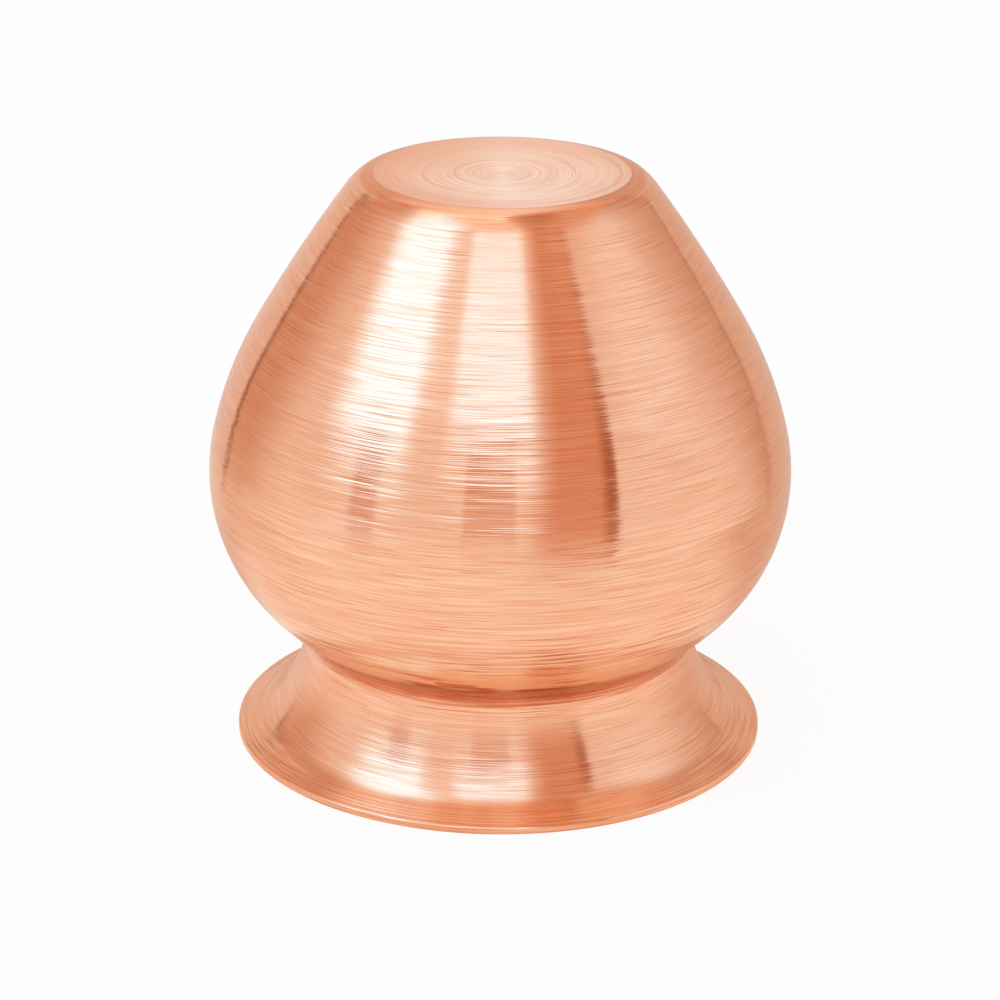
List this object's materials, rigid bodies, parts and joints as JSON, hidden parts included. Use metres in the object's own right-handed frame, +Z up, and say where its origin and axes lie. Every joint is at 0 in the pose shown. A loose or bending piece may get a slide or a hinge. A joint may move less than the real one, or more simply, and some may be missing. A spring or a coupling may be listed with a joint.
{
  "type": "lota",
  "caption": "Round-bellied copper water pot with a hollow neck, a wide flared mouth and a shallow dished base, standing upside down on its rim.",
  "frame": {"origin": "centre of the rim's flat underside, which the pot stands on", "axes": "+Z up along the pot's axis, from the mouth towards the base"},
  "size_m": [0.104, 0.104, 0.1044],
  "materials": {
    "copper": "bare copper, satin, brushed round the axis on the lathe",
    "brazing_filler": "dull brazing alloy, left as it flowed"
  },
  "bodies": {
    "root": {"base_bowl": "copper", "shoulder_shell": "copper", "flared_mouth": "copper", "belly_braze": "brazing_filler", "neck_braze": "brazing_filler"}
  },
  "joints": []
}
